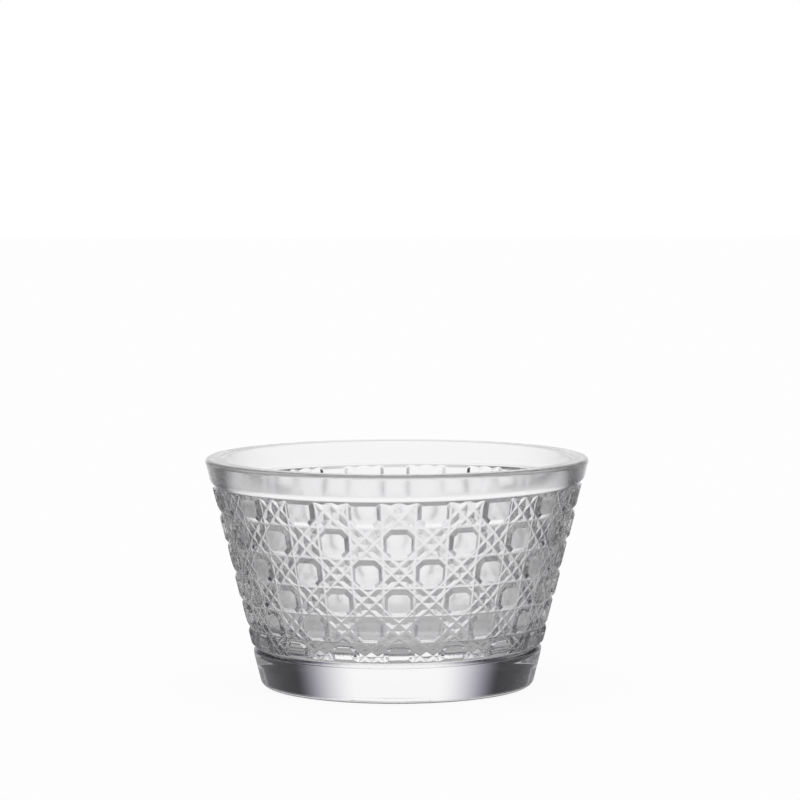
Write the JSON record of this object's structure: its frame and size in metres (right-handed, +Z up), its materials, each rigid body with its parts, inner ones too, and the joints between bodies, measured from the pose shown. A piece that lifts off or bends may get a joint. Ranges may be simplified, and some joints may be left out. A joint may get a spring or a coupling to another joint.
{
  "type": "cut crystal bowl",
  "caption": "Tapered bowl of clear cut crystal with a plain lip band, a belt of cane cutting and a thick solid foot.",
  "frame": {"origin": "middle of the flat face that the bowl stands on", "axes": "+Z up along the bowl's axis; -Y faces the camera of the picture, through the middle of a button column"},
  "size_m": [0.14, 0.14, 0.0837],
  "materials": {
    "crystal": "clear, cut and polished"
  },
  "bodies": {
    "root": {"bowl": "crystal"}
  },
  "joints": []
}
